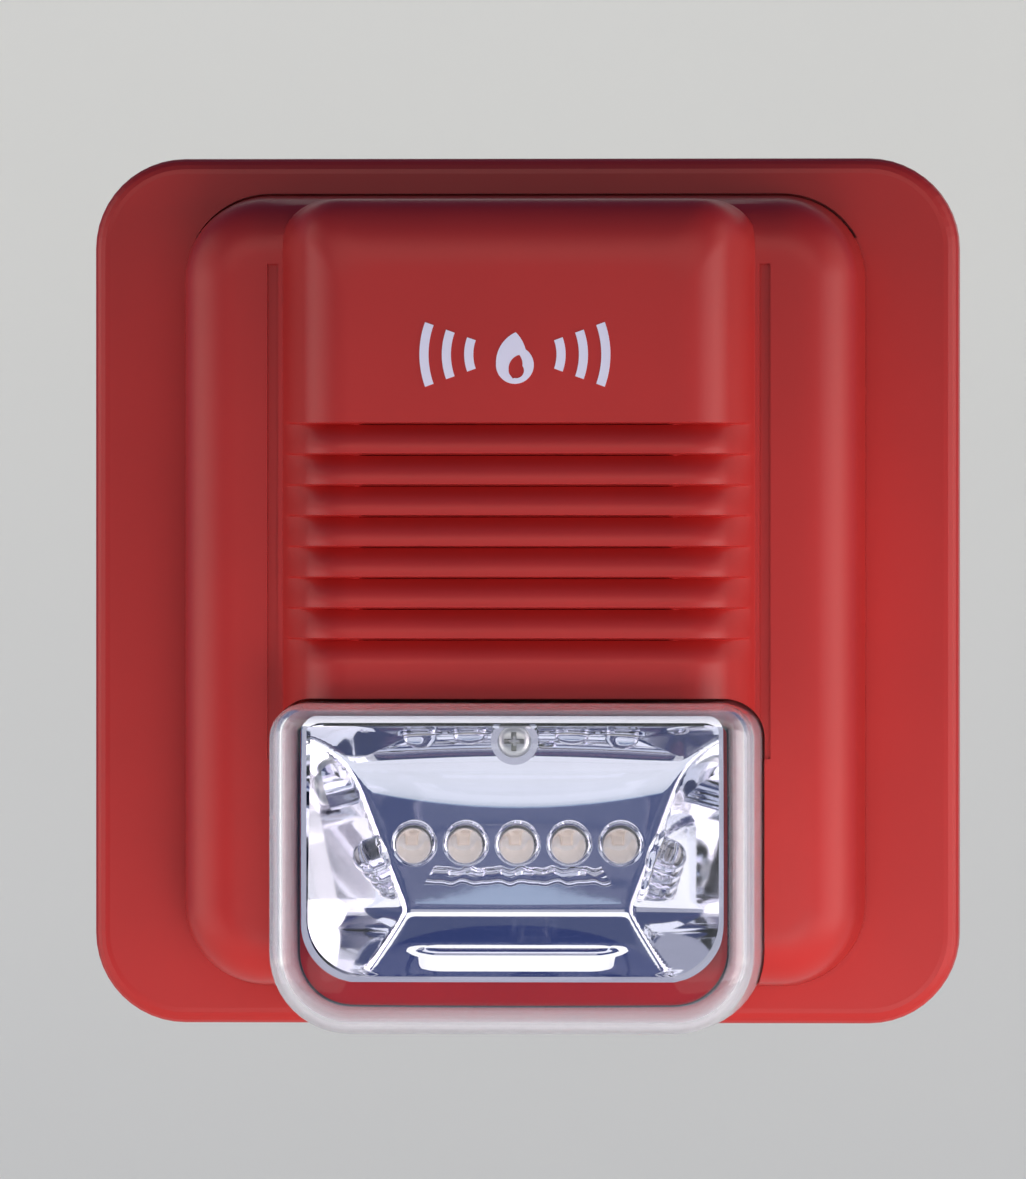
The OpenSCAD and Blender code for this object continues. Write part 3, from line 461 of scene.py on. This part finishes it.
def reflector_width(z, inset):
    """Half width of the reflector's outline at a height."""
    hw, low, high = REFL_HW - inset, REFL_BOTTOM + inset, REFL_TOP - inset
    for r, over in ((9 - inset, low + 9 - inset - z), (max(0.6, 3 - inset), z - high + max(0.6, 3 - inset))):
        if over > 0:
            return hw - r + math.sqrt(max(0, r * r - over * over))
    return hw


def slot_depth(x, z):
    """How deep the long shallow recess at the foot of the ramp cuts: a step, then a floor that faces the
    front. It runs out softly at both ends."""
    top, bottom, half, run_out, step, floor_slope = -50.9, -54.2, 17, 6, 0.7, 0.22
    ramp = (RAMP_D - LAMP_WALL[0][1]) / (LAMP_WALL[0][0] - RAMP_FOOT)
    below = min(top - z, top - bottom)
    ends = min(1, max(0, (half - abs(x)) / run_out))
    if below <= 0:
        return 0
    return (min(step, below) + (ramp - floor_slope) * below) * ends * ends * (3 - 2 * ends)


def roof_lift(z):
    """Share of the roof's sideways curve at a height: none at the lip and at the foot of the lamp wall."""
    foot, start, lip = LAMP_WALL[0][0], LAMP_WALL[1][0], ROOF_Z
    t = (z - foot) / (start - foot) if z < start else (lip - z) / (lip - start)
    t = min(1, max(0, t))
    return t * t * (3 - 2 * t)


def bowl_grid(inset, drop):
    """Rows of (x, z, d) across the bowl, within the outline at this inset. The roof curves up at its ends, by
    ROOF_CURVE at ROOF_HW."""
    low, high = REFL_BOTTOM + inset, REFL_TOP - inset
    rows = []
    for z, d in bowl_profile():
        z = min(max(z, low), high)
        w = reflector_width(z, inset)
        row = []
        for c in steps(-1, 1, 96):
            lifted = z + ROOF_CURVE * roof_lift(z) * min(1, (w * c / ROOF_HW) ** 2)
            deep = max(soft_max(d, side_wall(w * c, lifted)) - slot_depth(w * c, z), 0)
            row.append((w * c, lifted, min(REFL_LIP, deep) - drop))
        rows.append(row)
    return rows


def border(rows):
    """Places (row, column) round a grid's edge."""
    last, wide = len(rows) - 1, len(rows[0]) - 1
    return ([(0, j) for j in range(wide)] + [(i, wide) for i in range(last)]
            + [(last, j) for j in range(wide, 0, -1)] + [(i, 0) for i in range(last, 0, -1)])


def ledge():
    """The step below the lamps: a rounded, slightly wavy bar with slanting ends."""
    rings = []
    for t in steps(-1, 1, 60):
        wave = 0.16 * math.sin(19 * t) + 0.1 * math.sin(31 * t + 1)
        ring = []
        for a in steps(0, 360, 20)[:-1]:
            up, out = math.sin(math.radians(a)), math.cos(math.radians(a))
            z = LED_Z - 4.7 + 1.35 * up + wave
            ring.append((t * (12.7 - 0.75 * up), z, 28.6 + 1.5 * out * (1 - 0.25 * abs(up))))
        rings.append(ring)
    return loft("ledge", rings)


# (radius, height) round the rim of a lamp's collar
COLLAR = [(3.35, -1.6), (3.35, 0.45), (3.28, 0.72), (3.12, 0.92), (2.98, 1), (2.82, 0.96), (2.68, 0.82),
          (2.62, 0.6)]


def reflector():
    """The plated bowl: front and back grids joined round the flat lip and the skirt, then the ledge, collars,
    screw post and tongues."""
    lip, wall = 0.8, 1.3
    front, back = bowl_grid(lip, 0), bowl_grid(1.4, wall)
    verts, faces = [], []

    def add_grid(rows):
        start, wide = len(verts), len(rows[0])
        verts.extend(point(*p) for row in rows for p in row)
        faces.extend((start + i * wide + j, start + i * wide + j + 1,
                      start + (i + 1) * wide + j + 1, start + (i + 1) * wide + j)
                     for i in range(len(rows) - 1) for j in range(wide - 1))
        return [start + i * wide + j for i, j in border(rows)]

    def add_loop(points):
        start = len(verts)
        verts.extend(point(*p) for p in points)
        return list(range(start, start + len(points)))

    def join(a, b):
        faces.extend((a[k], a[(k + 1) % len(a)], b[(k + 1) % len(a)], b[k]) for k in range(len(a)))

    front_edge = add_grid(front)
    edge = [front[i][j] for i, j in border(front)]
    loops = [add_loop([(x, z, REFL_LIP) for x, z, _ in edge])]
    height = REFL_TOP - REFL_BOTTOM
    grow_x, grow_z = REFL_HW / (REFL_HW - lip), height / (height - 2 * lip)
    mid = (REFL_TOP + REFL_BOTTOM) / 2
    for d in (REFL_LIP, REFL_FOOT):
        loops.append(add_loop([(x * grow_x, mid + (z - mid) * grow_z, d) for x, z, _ in edge]))
    back_edge = add_grid(back)
    back_points = [back[i][j] for i, j in border(back)]
    loops.append(add_loop([(x, z, REFL_FOOT) for x, z, _ in back_points]))
    for a, b in zip([front_edge] + loops, loops + [back_edge]):
        join(a, b)
    bowl = clean(new_object("reflector_bowl", verts, faces), 1e-5)
    lamps = [lamp_matrix(i) for i in range(LED_COUNT)]
    boolean(bowl, ledge(), "UNION")
    for m in lamps:
        boolean(bowl, lathe("collar", COLLAR, m), "UNION")
    boolean(bowl, post("screw_post", 3.4, 22, SCREW_SEAT), "UNION")
    boolean(bowl, post("screw_hole", 1.6, 20, LENS_D), "DIFFERENCE")
    boolean(bowl, post("screw_seat", 2.6, SCREW_SEAT, LENS_D), "DIFFERENCE")
    for m in lamps:
        boolean(bowl, lathe("lamp_hole", [(2.6, -4), (2.6, 6)], m), "DIFFERENCE")
    for side in (-1, 1):
        x = side * 15
        boolean(bowl, box_mesh("tongue", (x - 2.5, -55.5, 13.8), (x + 2.5, -54.3, 20)), "UNION")
    return smooth(bowl, 35)


# ---------- lamps ----------

def led(i):
    """A 5 mm lamp: clear body, and the reflector cup, post and chip inside it."""
    m = lamp_matrix(i)
    flange = [(2.85, -LED_H), (2.9, -2.5), (2.9, -1.7), (2.85, -1.6), (LED_R, -1.6)]
    dome = [(LED_R * math.cos(math.radians(a)), LED_H + LED_R * math.sin(math.radians(a)))
            for a in steps(0, 88, 16)]
    body = lathe(f"led_body_{i + 1}", flange + dome, m)
    cup_m = m @ Matrix.Translation((-0.2 * MM, 0, 0))
    cup_side = [(0.35, -2.4), (0.4, -0.9), (1.35, 0), (1.4, 1.1), (1.3, 1.12), (0.6, 0.35), (0.02, 0.3)]
    cup = lathe(f"led_cup_{i + 1}", cup_side, cup_m, 24)
    chip = lathe(f"led_chip_{i + 1}", [(0.42, 0.32), (0.42, 0.52), (0.3, 0.6), (0.02, 0.6)],
                 cup_m @ Matrix.Rotation(math.pi / 4, 4, "Z"), 4)
    post_two = lathe(f"led_post_{i + 1}", [(0.35, -2.4), (0.4, 0.2), (0.25, 1.3), (0.02, 1.32)],
                     m @ Matrix.Translation((1.65 * MM, 0, 0)), 16)
    return [smooth(body, 40), smooth(cup, 40), chip, smooth(post_two, 40)]


# ---------- screws ----------

def cross_screw(name, matrix, shank_r, shank_l, head_r, head_h):
    """A pan head screw with a tapered cross recess. The head's underside is at the matrix's origin."""
    dome = [(head_r * math.cos(math.radians(a)) ** 0.6, head_h * (0.4 + 0.6 * math.sin(math.radians(a))))
            for a in steps(0, 86, 10)]
    shank = [(shank_r * 0.5, -shank_l), (shank_r, -shank_l + 0.6), (shank_r, -0.2), (shank_r + 0.15, 0)]
    screw = lathe(name, shank + [(head_r * 0.97, 0), (head_r, 0.1)] + dome, matrix, 48)
    for quarter in (0, 1):
        turn = matrix @ Matrix.Rotation(quarter * math.pi / 2, 4, "Z")
        verts = []
        for long_side, short_side, h in ((0.3, 0.07, 0.2 * head_h), (0.66, 0.17, 1.1 * head_h)):
            verts += [turn @ Vector((a * long_side * head_r * MM, b * short_side * head_r * MM, h * MM))
                      for a, b in ((-1, -1), (1, -1), (1, 1), (-1, 1))]
        sides = [(k, (k + 1) % 4, (k + 1) % 4 + 4, k + 4) for k in range(4)]
        boolean(screw, clean(new_object("recess", verts, [(3, 2, 1, 0), (4, 5, 6, 7)] + sides)), "DIFFERENCE")
    return smooth(screw, 35)


# ---------- materials ----------

def surface(name, colour, roughness=0.4, metallic=0, vary=0.06, clouds=45, grain=2500, bump=0.04,
            rough_vary=0.08, transmission=0, ior=1.5, specular=0.5):
    """A moulded, cast or plated surface: soft changes of colour, fine grain in the gloss, and a slight
    relief."""
    mat = bpy.data.materials.new(name)
    mat.use_nodes = True
    nodes, links = mat.node_tree.nodes, mat.node_tree.links
    shader = nodes["Principled BSDF"]
    shader.inputs["Metallic"].default_value = metallic
    shader.inputs["IOR"].default_value = ior
    shader.inputs["Transmission Weight"].default_value = transmission
    shader.inputs["Specular IOR Level"].default_value = specular
    place = nodes.new("ShaderNodeTexCoord").outputs["Object"]

    def noise(scale, detail):
        node = nodes.new("ShaderNodeTexNoise")
        node.inputs["Scale"].default_value = scale
        node.inputs["Detail"].default_value = detail
        links.new(place, node.inputs["Vector"])
        return node.outputs["Fac"]

    patches, fine = noise(clouds, 3), noise(grain, 2)
    ramp = nodes.new("ShaderNodeValToRGB")
    for element, share in zip(ramp.color_ramp.elements, (1 - vary, 1 + vary)):
        element.color = [min(1, c * share) for c in colour] + [1]
    ramp.color_ramp.elements[0].position, ramp.color_ramp.elements[1].position = 0.3, 0.7
    links.new(patches, ramp.inputs["Fac"])
    links.new(ramp.outputs["Color"], shader.inputs["Base Color"])
    span = nodes.new("ShaderNodeMapRange")
    span.inputs["To Min"].default_value = max(0, roughness - rough_vary / 2)
    span.inputs["To Max"].default_value = roughness + rough_vary / 2
    links.new(fine, span.inputs["Value"])
    links.new(span.outputs["Result"], shader.inputs["Roughness"])
    if bump:
        relief = nodes.new("ShaderNodeBump")
        relief.inputs["Strength"].default_value = bump
        relief.inputs["Distance"].default_value = 0.0001
        links.new(fine, relief.inputs["Height"])
        links.new(relief.outputs["Normal"], shader.inputs["Normal"])
    if transmission:
        let_light_in(mat, shader)
    return mat


def milky_sides_painted_reflection(mat):
    """The lens is clear in front and on faces that point up, and milky on its sides and underside: a painted
    reflection, its pale lilac colour standing in for the bright surroundings that the thick rim reflects.
    """
    nodes, links = mat.node_tree.nodes, mat.node_tree.links
    shader = nodes["Principled BSDF"]
    split = nodes.new("ShaderNodeSeparateXYZ")
    links.new(nodes.new("ShaderNodeNewGeometry").outputs["True Normal"], split.inputs["Vector"])
    facing = nodes.new("ShaderNodeMath")
    facing.operation = "ABSOLUTE"
    links.new(split.outputs["Y"], facing.inputs[0])
    above, clear = nodes.new("ShaderNodeMath"), nodes.new("ShaderNodeMath")
    above.operation, clear.operation = "MAXIMUM", "ADD"
    above.inputs[1].default_value = 0
    links.new(split.outputs["Z"], above.inputs[0])
    links.new(above.outputs["Value"], clear.inputs[0])
    links.new(facing.outputs["Value"], clear.inputs[1])
    # Painted reflection: rougher, less clear glass on the sides and underside lets the pale lilac colour
    # show.
    for socket, side, front in (("Roughness", 0.22, 0.02), ("Transmission Weight", 0.78, 1)):
        span = nodes.new("ShaderNodeMapRange")
        span.interpolation_type = "SMOOTHSTEP"
        span.inputs["From Min"].default_value, span.inputs["From Max"].default_value = 0.35, 0.95
        span.inputs["To Min"].default_value, span.inputs["To Max"].default_value = side, front
        links.new(clear.outputs["Value"], span.inputs["Value"])
        links.new(span.outputs["Result"], shader.inputs[socket])


def let_light_in(mat, shader):
    """Lamps shine through a clear piece instead of being stopped by it."""
    nodes, links = mat.node_tree.nodes, mat.node_tree.links
    path, clear, mix = (nodes.new("ShaderNode" + n) for n in ("LightPath", "BsdfTransparent", "MixShader"))
    links.new(path.outputs["Is Shadow Ray"], mix.inputs["Fac"])
    links.new(shader.outputs["BSDF"], mix.inputs[1])
    links.new(clear.outputs["BSDF"], mix.inputs[2])
    links.new(mix.outputs["Shader"], nodes["Material Output"].inputs["Surface"])


def make_materials():
    """One material for each slot of the record, and three more for the lamps' insides and the floor."""
    return {
        "red_plastic": surface("red_plastic", (0.5, 0.023, 0.02), 0.38, vary=0.05, clouds=30, grain=1800,
                               bump=0.05, specular=0.3),
        "terminal_green": surface("terminal_green", (0.03, 0.16, 0.06), 0.5),
        "zinc_steel": surface("zinc_steel", (0.62, 0.62, 0.6), 0.3, metallic=1, grain=6000, bump=0.08),
        "brass": surface("brass", (0.75, 0.5, 0.2), 0.3, metallic=1, grain=3000),
        "spring_brass": surface("spring_brass", (0.8, 0.55, 0.24), 0.25, metallic=1, grain=3000),
        "white_print": surface("white_print", (0.84, 0.8, 0.93), 0.5, vary=0.03, grain=5000, bump=0.08),
        "black_mesh": surface("black_mesh", (0.012, 0.012, 0.013), 0.8, grain=1500, bump=0.6),
        "black_plastic": surface("black_plastic", (0.02, 0.02, 0.022), 0.45, grain=2200, bump=0.15),
        "piezo_white": surface("piezo_white", (0.8, 0.78, 0.72), 0.35, metallic=0.3, grain=3000),
        "wire_red": surface("wire_red", (0.45, 0.015, 0.012), 0.4, grain=1500),
        "nylon_white": surface("nylon_white", (0.78, 0.76, 0.68), 0.45, grain=2500),
        "board_green": surface("board_green", (0.015, 0.12, 0.045), 0.3, vary=0.2, clouds=260, grain=900,
                               bump=0.1),
        "gold_plate": surface("gold_plate", (0.9, 0.62, 0.25), 0.22, metallic=1, grain=3000),
        "ferrite": surface("ferrite", (0.03, 0.03, 0.033), 0.6, grain=3500, bump=0.3),
        "copper_wire": surface("copper_wire", (0.5, 0.16, 0.05), 0.3, metallic=0.8, grain=1200, bump=0.5),
        "capacitor_sleeve": surface("capacitor_sleeve", (0.02, 0.03, 0.12), 0.25, grain=1500),
        "epoxy_black": surface("epoxy_black", (0.015, 0.015, 0.015), 0.55, grain=4000, bump=0.2),
        "resistor_tan": surface("resistor_tan", (0.6, 0.42, 0.2), 0.4, grain=2500),
        "switch_blue": surface("switch_blue", (0.02, 0.09, 0.35), 0.4, grain=2500),
        "board_white": surface("board_white", (0.78, 0.78, 0.76), 0.35, grain=1500),
        "led_epoxy": surface("led_epoxy", (0.97, 0.97, 1), 0.02, vary=0.02, rough_vary=0.02, bump=0,
                             transmission=1),
        "lamp_cup": surface("lamp_cup", (0.92, 0.88, 0.84), 0.35, metallic=0.3, grain=3000),
        "tinned_wire": surface("tinned_wire", (0.7, 0.7, 0.7), 0.25, metallic=1, grain=3000),
        "reflector_chrome": surface("reflector_chrome", (0.86, 0.87, 0.92), 0.035, metallic=1, vary=0.02,
                                    clouds=90, grain=700, bump=0.012, rough_vary=0.03),
        # The clear lens's pale lilac shows on its milky sides and underside as painted reflection.
        "clear_lens": surface("clear_lens", (0.97, 0.93, 0.98), 0.015, vary=0.01, rough_vary=0.01, grain=120,
                              bump=0.012, transmission=1, ior=1.52),
        "gasket_rubber": surface("gasket_rubber", (0.05, 0.05, 0.052), 0.7, grain=3000, bump=0.3),
        "chip_phosphor": surface("chip_phosphor", (0.95, 0.8, 0.68), 0.5, grain=6000),
        "floor_paint": surface("floor_paint", (0.77, 0.77, 0.7), 0.6, vary=0.015, clouds=3, grain=400,
                               bump=0.02),
    }


# ---------- the scene ----------

def look_at(obj, target):
    """Turns a lamp or a camera towards a place."""
    obj.rotation_euler = (target - obj.location).to_track_quat("-Z", "Y").to_euler()


def make_camera():
    """Nearly straight in front, a little to the right, and far off with a long lens."""
    data = bpy.data.cameras.new("camera")
    cam = bpy.data.objects.new("camera", data)
    scene.collection.objects.link(cam)
    aim = Vector((-0.0019, -0.007, 0.0002))
    azimuth, elevation, distance = math.radians(3.1), math.radians(0.3), 2.4
    cam.location = aim + distance * Vector((math.sin(azimuth) * math.cos(elevation),
                                            -math.cos(azimuth) * math.cos(elevation), math.sin(elevation)))
    look_at(cam, aim)
    data.sensor_width = 36
    data.lens = 507.1
    data.clip_start, data.clip_end = 0.01, 20
    scene.camera = cam


def panel(name, place, target, size, level, colour=(1, 1, 1), shows="both", spread=180):
    """A softbox. Level is how bright its face looks; shows limits it to the gloss or to the plain light.
    Spread is the angle it lights, narrowed by a grid on its face."""
    data = bpy.data.lights.new(name, "AREA")
    data.shape, data.size, data.size_y = "RECTANGLE", size[0], size[1]
    data.energy, data.color = level * math.pi * size[0] * size[1], colour
    data.spread = math.radians(spread)
    lamp = bpy.data.objects.new(name, data)
    lamp.location = place
    scene.collection.objects.link(lamp)
    look_at(lamp, Vector(target))
    lamp.visible_camera = False
    lamp.visible_glossy = lamp.visible_transmission = shows != "diffuse"
    lamp.visible_diffuse = shows != "glossy"


def make_lights():
    """Soft plain light from the sides and below, cards that only the gloss and the chrome see, and a dim blue
    surround for the rest of the chrome."""
    warm, cool, pale = (1, 0.97, 0.94), (0.68, 0.95, 1), (0.95, 1, 0.86)
    panel("left_side", (-0.85, -0.3, -0.25), (0, 0, 0), (0.9, 0.9), 1.15, warm)
    panel("right_side", (0.85, -0.38, -0.25), (0, 0, 0), (0.9, 0.9), 2.5, warm)
    panel("low_fill", (0.05, -0.25, -0.12), (0.01, 0, -0.045), (0.26, 0.1), 0.78, warm, "diffuse", 55)
    panel("top_fill", (0, -0.4, 0.9), (0, 0, 0), (0.9, 0.6), 0.4, warm, "diffuse")
    panel("left_card", (-0.9, -0.1, 0.2), (0, 0, 0), (0.9, 0.9), 1.15, pale, "glossy")
    panel("right_card", (0.9, -0.1, 0.2), (0, 0, 0), (0.9, 0.9), 1.15, pale, "glossy")
    panel("front_card", (0, -1.6, 0.01), (0, 0, 0), (0.5, 0.45), 0.5, pale, "glossy")
    panel("upper_card", (0, -0.93, 0.37), (0, 0, 0), (1.5, 0.5), 1.5, pale, "glossy")
    panel("lower_card", (0, -0.225, -0.15), (0, -0.225, 1), (0.7, 0.31), 0.4, cool, "glossy")
    panel("floor_light", (0, 0.9, -0.31), (0, 0.9, -1), (10, 4.2), 0.62, warm, "diffuse")
    panel("back_light", (0.9, 3.6, 1), (0.9, 4.2, 1), (6, 4), 0.7, warm, "diffuse")
    world = bpy.data.worlds.new("studio")
    scene.world = world
    world.use_nodes = True
    nodes, links = world.node_tree.nodes, world.node_tree.links
    seen = nodes["Background"]
    seen.inputs["Color"].default_value = (0.58, 0.59, 0.57, 1)
    dim = nodes.new("ShaderNodeBackground")
    dim.inputs["Color"].default_value = (0.045, 0.07, 0.19, 1)
    path, mix = nodes.new("ShaderNodeLightPath"), nodes.new("ShaderNodeMixShader")
    links.new(path.outputs["Is Camera Ray"], mix.inputs["Fac"])
    links.new(dim.outputs["Background"], mix.inputs[1])
    links.new(seen.outputs["Background"], mix.inputs[2])
    links.new(mix.outputs["Shader"], nodes["World Output"].inputs["Surface"])


def make_stage(paint):
    """A pale floor that sweeps up into a backdrop well behind the object."""
    floor_z, front, back, bend, top = -0.45, -1.2, 4.2, 0.6, 4
    side = [(front, floor_z), (back - bend, floor_z)]
    for a in steps(0, 90, 16)[1:]:
        t = math.radians(a)
        side.append((back - bend + bend * math.sin(t), floor_z + bend * (1 - math.cos(t))))
    side.append((back, top))
    verts = [(x, y, z) for y, z in side for x in (-4, 4)]
    faces = [(2 * i, 2 * i + 1, 2 * i + 3, 2 * i + 2) for i in range(len(side) - 1)]
    sweep = smooth(new_object("sweep", verts, faces), 60)
    sweep.data.materials.append(paint)


def dress(obj, body, slot, node=None, material=None):
    """Gives a visual piece its material, parents it to the empty of the body it rides on, and hides the CAD
    node it stands for.
    """
    obj.data.materials.clear()
    obj.data.materials.append(materials[material or slot])
    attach(obj, body)
    if node:
        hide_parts(node)


scene.view_settings.view_transform = "Standard"
materials = make_materials()
milky_sides_painted_reflection(materials["clear_lens"])
make_camera()
make_lights()
make_stage(materials["floor_paint"])
slot_of = {part["node"]: part["material_slot"] for part in frame["record"]["subparts"]}
for name, obj in frame["nodes"].items():
    obj.data.materials.clear()
    obj.data.materials.append(materials[slot_of[name]])
    smooth(obj, 32)
dress(housing(), "front_unit", "red_plastic", "front_housing")
dress(lens(), "front_unit", "clear_lens", "lens")
dress(reflector(), "front_unit", "reflector_chrome", "reflector")
dress(cross_screw("reflector_cross_screw", screw_matrix(SCREW_SEAT), 1.25, 20, 2.4, 1.8),
      "front_unit", "zinc_steel", "reflector_screw")
clamp_matrix = Matrix.Translation(point(0, CLAMP_Z, CLAMP_D)) @ Matrix.Rotation(math.pi, 4, "X")
dress(cross_screw("clamp_cross_screw", clamp_matrix, 1.5, 15, 2.75, 1.9),
      "clamp_screw", "zinc_steel", "lock_screw")
for i in range(LED_COUNT):
    body, cup, chip, post_two = led(i)
    dress(body, "front_unit", "led_epoxy", f"led_{i + 1}")
    dress(cup, "front_unit", "tinned_wire", material="lamp_cup")
    dress(chip, "front_unit", "led_epoxy", material="chip_phosphor")
    dress(post_two, "front_unit", "tinned_wire")
